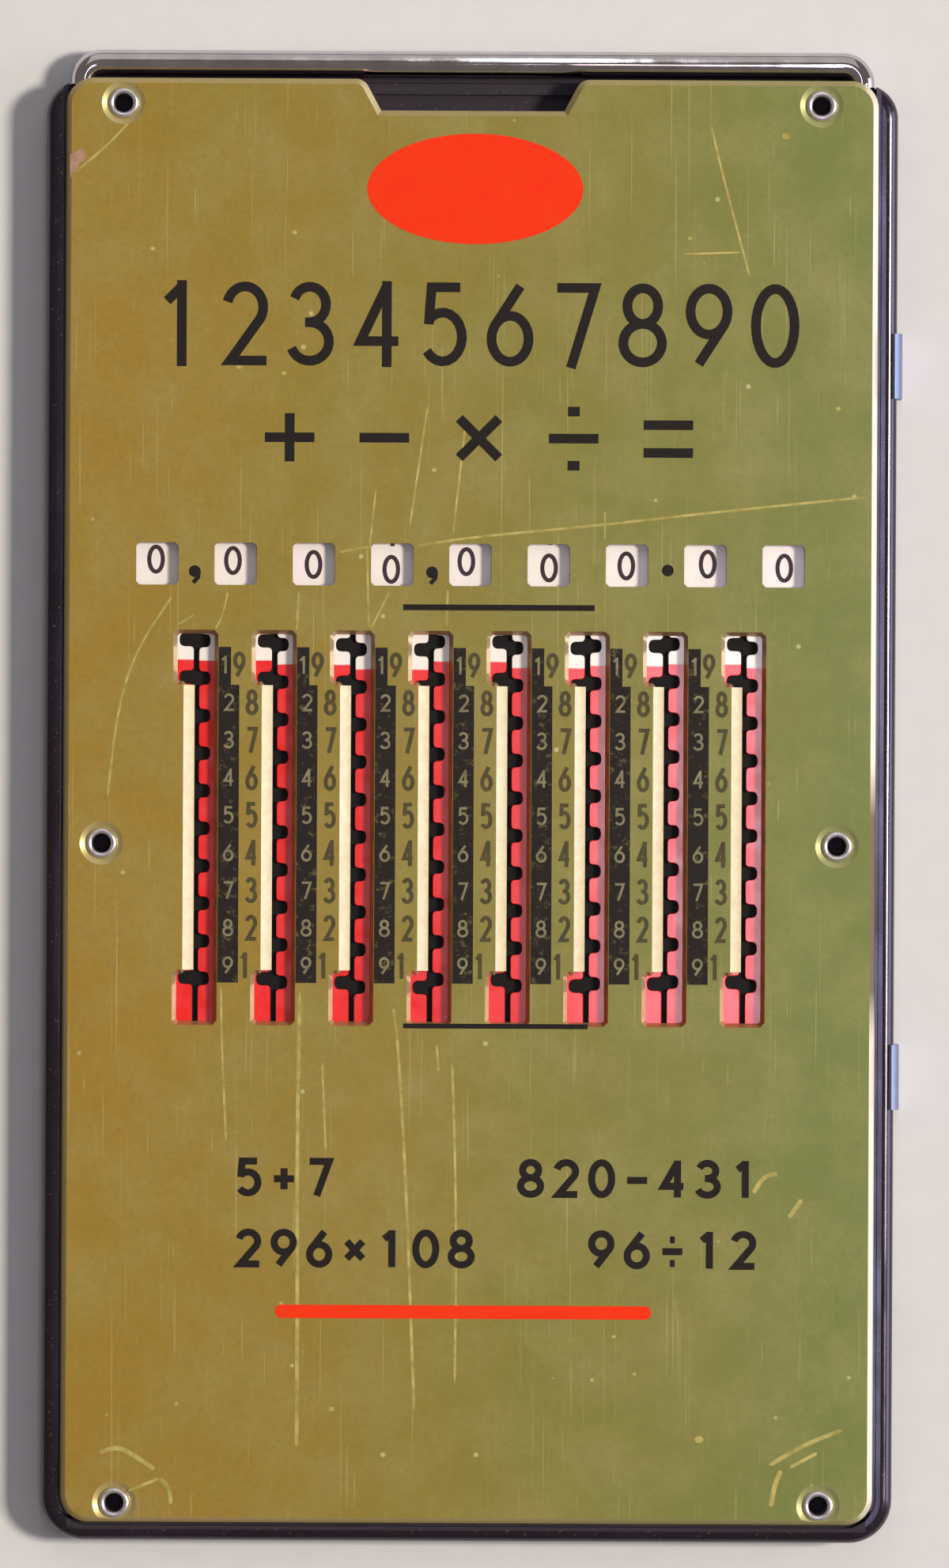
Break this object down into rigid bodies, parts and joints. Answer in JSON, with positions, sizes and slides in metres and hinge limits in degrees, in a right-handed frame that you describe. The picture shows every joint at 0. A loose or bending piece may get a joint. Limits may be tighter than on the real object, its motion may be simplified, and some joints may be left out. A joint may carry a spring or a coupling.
{
  "type": "pocket slide adder",
  "caption": "Flat pocket adding machine with toothed number slides behind a pierced lacquered brass plate, a black case and a chromed clearing bail.",
  "frame": {"origin": "middle of the flat back, below the centre of the front plate", "axes": "+X to the right across the face, +Y along the length towards the clearing bail, +Z out of the face"},
  "size_m": [0.0869, 0.1514, 0.0052],
  "materials": {
    "plate_brass": "olive-gold lacquer over brass, satin, worn and scratched",
    "case_gloss": "brown-black, polished, lightly rubbed",
    "bed_black": "dull black",
    "felt": "dense dark felt",
    "stop_aluminium": "plain",
    "slide_paint": "white at the digits and glossy red below them",
    "bail_chrome": "bright plated",
    "bar_steel": "plain",
    "eyelet_nickel": "nickel-plated, slightly dulled",
    "stylus_steel": "turned and plated",
    "clip_nickel": "nickel-plated spring strip"
  },
  "bodies": {
    "case": {"front_plate": "plate_brass", "back_case": "case_gloss", "slide_bed": "bed_black", "brake_felt": "felt", "stop_bar": "stop_aluminium", "eyelets": "eyelet_nickel", "stylus_clip_upper": "clip_nickel", "stylus_clip_lower": "clip_nickel"},
    "slide_1": {"slide_1": "slide_paint"},
    "slide_2": {"slide_2": "slide_paint"},
    "slide_3": {"slide_3": "slide_paint"},
    "slide_4": {"slide_4": "slide_paint"},
    "slide_5": {"slide_5": "slide_paint"},
    "slide_6": {"slide_6": "slide_paint"},
    "slide_7": {"slide_7": "slide_paint"},
    "slide_8": {"slide_8": "slide_paint"},
    "slide_9": {"slide_9": "slide_paint"},
    "bail": {"clearing_bail": "bail_chrome", "reset_bar": "bar_steel"},
    "stylus": {"stylus": "stylus_steel"}
  },
  "joints": [
    {"name": "slide_1_travel", "type": "slide", "parent": "case", "child": "slide_1", "axis": [0, 1, 0], "range_m": [-0.0381, 0]},
    {"name": "slide_2_travel", "type": "slide", "parent": "case", "child": "slide_2", "axis": [0, 1, 0], "range_m": [-0.038, 0.0001]},
    {"name": "slide_3_travel", "type": "slide", "parent": "case", "child": "slide_3", "axis": [0, 1, 0], "range_m": [-0.03764, 0.00046]},
    {"name": "slide_4_travel", "type": "slide", "parent": "case", "child": "slide_4", "axis": [0, 1, 0], "range_m": [-0.03718, 0.00092]},
    {"name": "slide_5_travel", "type": "slide", "parent": "case", "child": "slide_5", "axis": [0, 1, 0], "range_m": [-0.038, 0.0001]},
    {"name": "slide_6_travel", "type": "slide", "parent": "case", "child": "slide_6", "axis": [0, 1, 0], "range_m": [-0.0374, 0.0007]},
    {"name": "slide_7_travel", "type": "slide", "parent": "case", "child": "slide_7", "axis": [0, 1, 0], "range_m": [-0.03764, 0.00046]},
    {"name": "slide_8_travel", "type": "slide", "parent": "case", "child": "slide_8", "axis": [0, 1, 0], "range_m": [-0.03786, 0.00024]},
    {"name": "slide_9_travel", "type": "slide", "parent": "case", "child": "slide_9", "axis": [0, 1, 0], "range_m": [-0.03749, 0.00061]},
    {"name": "clearing_pull", "type": "slide", "parent": "case", "child": "bail", "axis": [0, 1, 0], "range_m": [0, 0.0374]},
    {"name": "stylus_draw", "type": "slide", "parent": "case", "child": "stylus", "axis": [0, 1, 0], "range_m": [-0.126, 0]}
  ]
}
